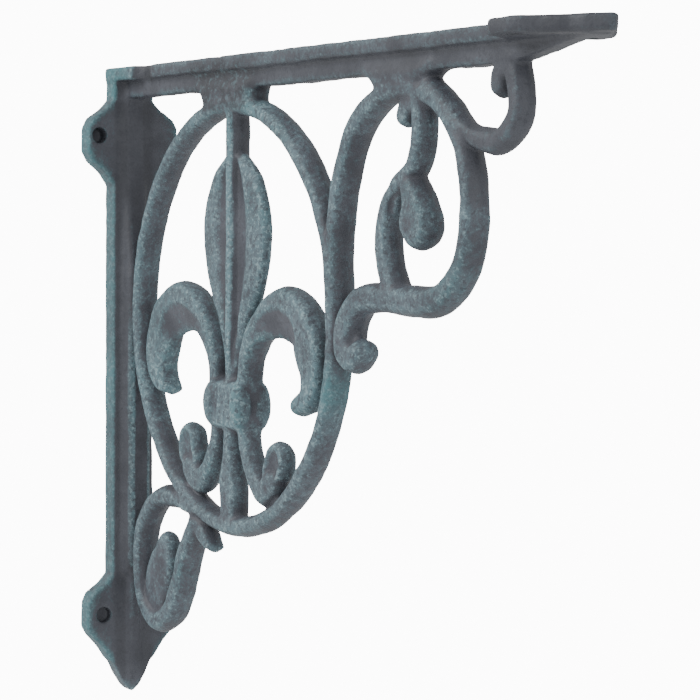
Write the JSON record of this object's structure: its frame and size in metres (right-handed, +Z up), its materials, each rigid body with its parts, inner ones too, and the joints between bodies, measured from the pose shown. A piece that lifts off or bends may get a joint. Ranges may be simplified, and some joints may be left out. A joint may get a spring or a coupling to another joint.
{
  "type": "cast iron shelf bracket",
  "caption": "Ornate cast iron shelf bracket with a wall plate and shelf arm joined by scrollwork around a ringed fleur-de-lis.",
  "frame": {"origin": "on the back of the wall plate, on its centre line, halfway between the shelf face and the lower tip", "axes": "+X out from the wall along the shelf arm, +Y along the wall, +Z up"},
  "size_m": [0.25, 0.0296, 0.188],
  "materials": {
    "iron": "rough sand-cast grey iron with a worn blue-green patina on the raised edges"
  },
  "bodies": {
    "root": {"bracket_casting": "iron"}
  },
  "joints": []
}
